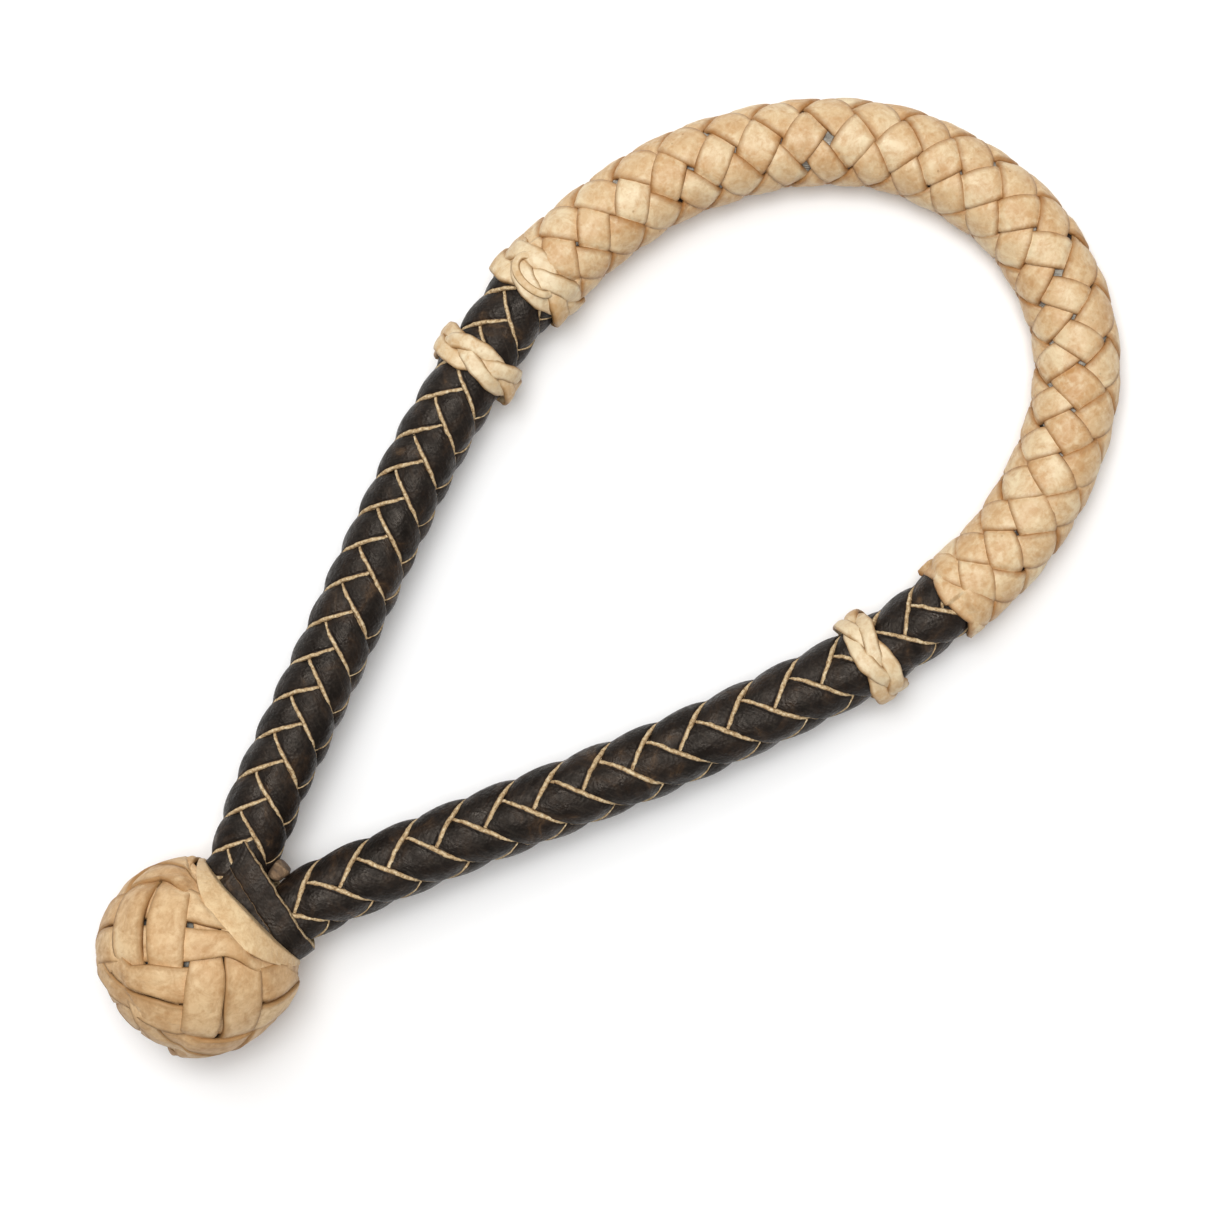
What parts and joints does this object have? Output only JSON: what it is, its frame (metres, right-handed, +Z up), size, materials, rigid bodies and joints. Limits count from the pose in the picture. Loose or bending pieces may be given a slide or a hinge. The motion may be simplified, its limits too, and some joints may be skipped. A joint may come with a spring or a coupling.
{
  "type": "bosal",
  "caption": "Teardrop noseband loop of braided leather round a rawhide core, with a woven nose button, sliding keeper rings and a heavy woven heel knot.",
  "frame": {"origin": "on the table plane under the middle of the whole part", "axes": "+X from the heel knot to the nose, along the loop's length; +Z up, square to the table it lies on; +Y to the left shank"},
  "size_m": [0.2906, 0.14, 0.046],
  "materials": {
    "black_leather": "semi-gloss, worn, raw tan cut edges",
    "rawhide": "satin natural rawhide",
    "pale_rawhide": "satin pale rawhide string",
    "knot_rawhide": "matt mottled rawhide",
    "core_rawhide": "dull twisted rawhide",
    "grey_cloth": "matt wound cloth",
    "brown_leather": "matt brown split leather"
  },
  "bodies": {
    "loop": {"core": "core_rawhide", "body_strand_left_1": "black_leather", "body_strand_left_2": "black_leather", "body_strand_left_3": "black_leather", "body_strand_left_4": "black_leather", "body_strand_right_1": "black_leather", "body_strand_right_2": "black_leather", "body_strand_right_3": "black_leather", "body_strand_right_4": "black_leather", "nose_foundation": "grey_cloth", "nose_button": "rawhide", "nose_end_ring": "pale_rawhide", "heel_filling": "grey_cloth", "heel_knot": "knot_rawhide", "throat_wrap": "black_leather", "throat_filler": "brown_leather"},
    "ring_left": {"side_ring_left": "pale_rawhide"},
    "ring_right": {"side_ring_right": "pale_rawhide"}
  },
  "joints": [
    {"name": "ring_left_slide", "type": "slide", "parent": "loop", "child": "ring_left", "axis": [0.9647, 0.2587, -0.0493], "range_m": [-0.01, 0.013]},
    {"name": "ring_right_slide", "type": "slide", "parent": "loop", "child": "ring_right", "axis": [0.9826, -0.1789, -0.0502], "range_m": [-0.01, 0.014]}
  ]
}
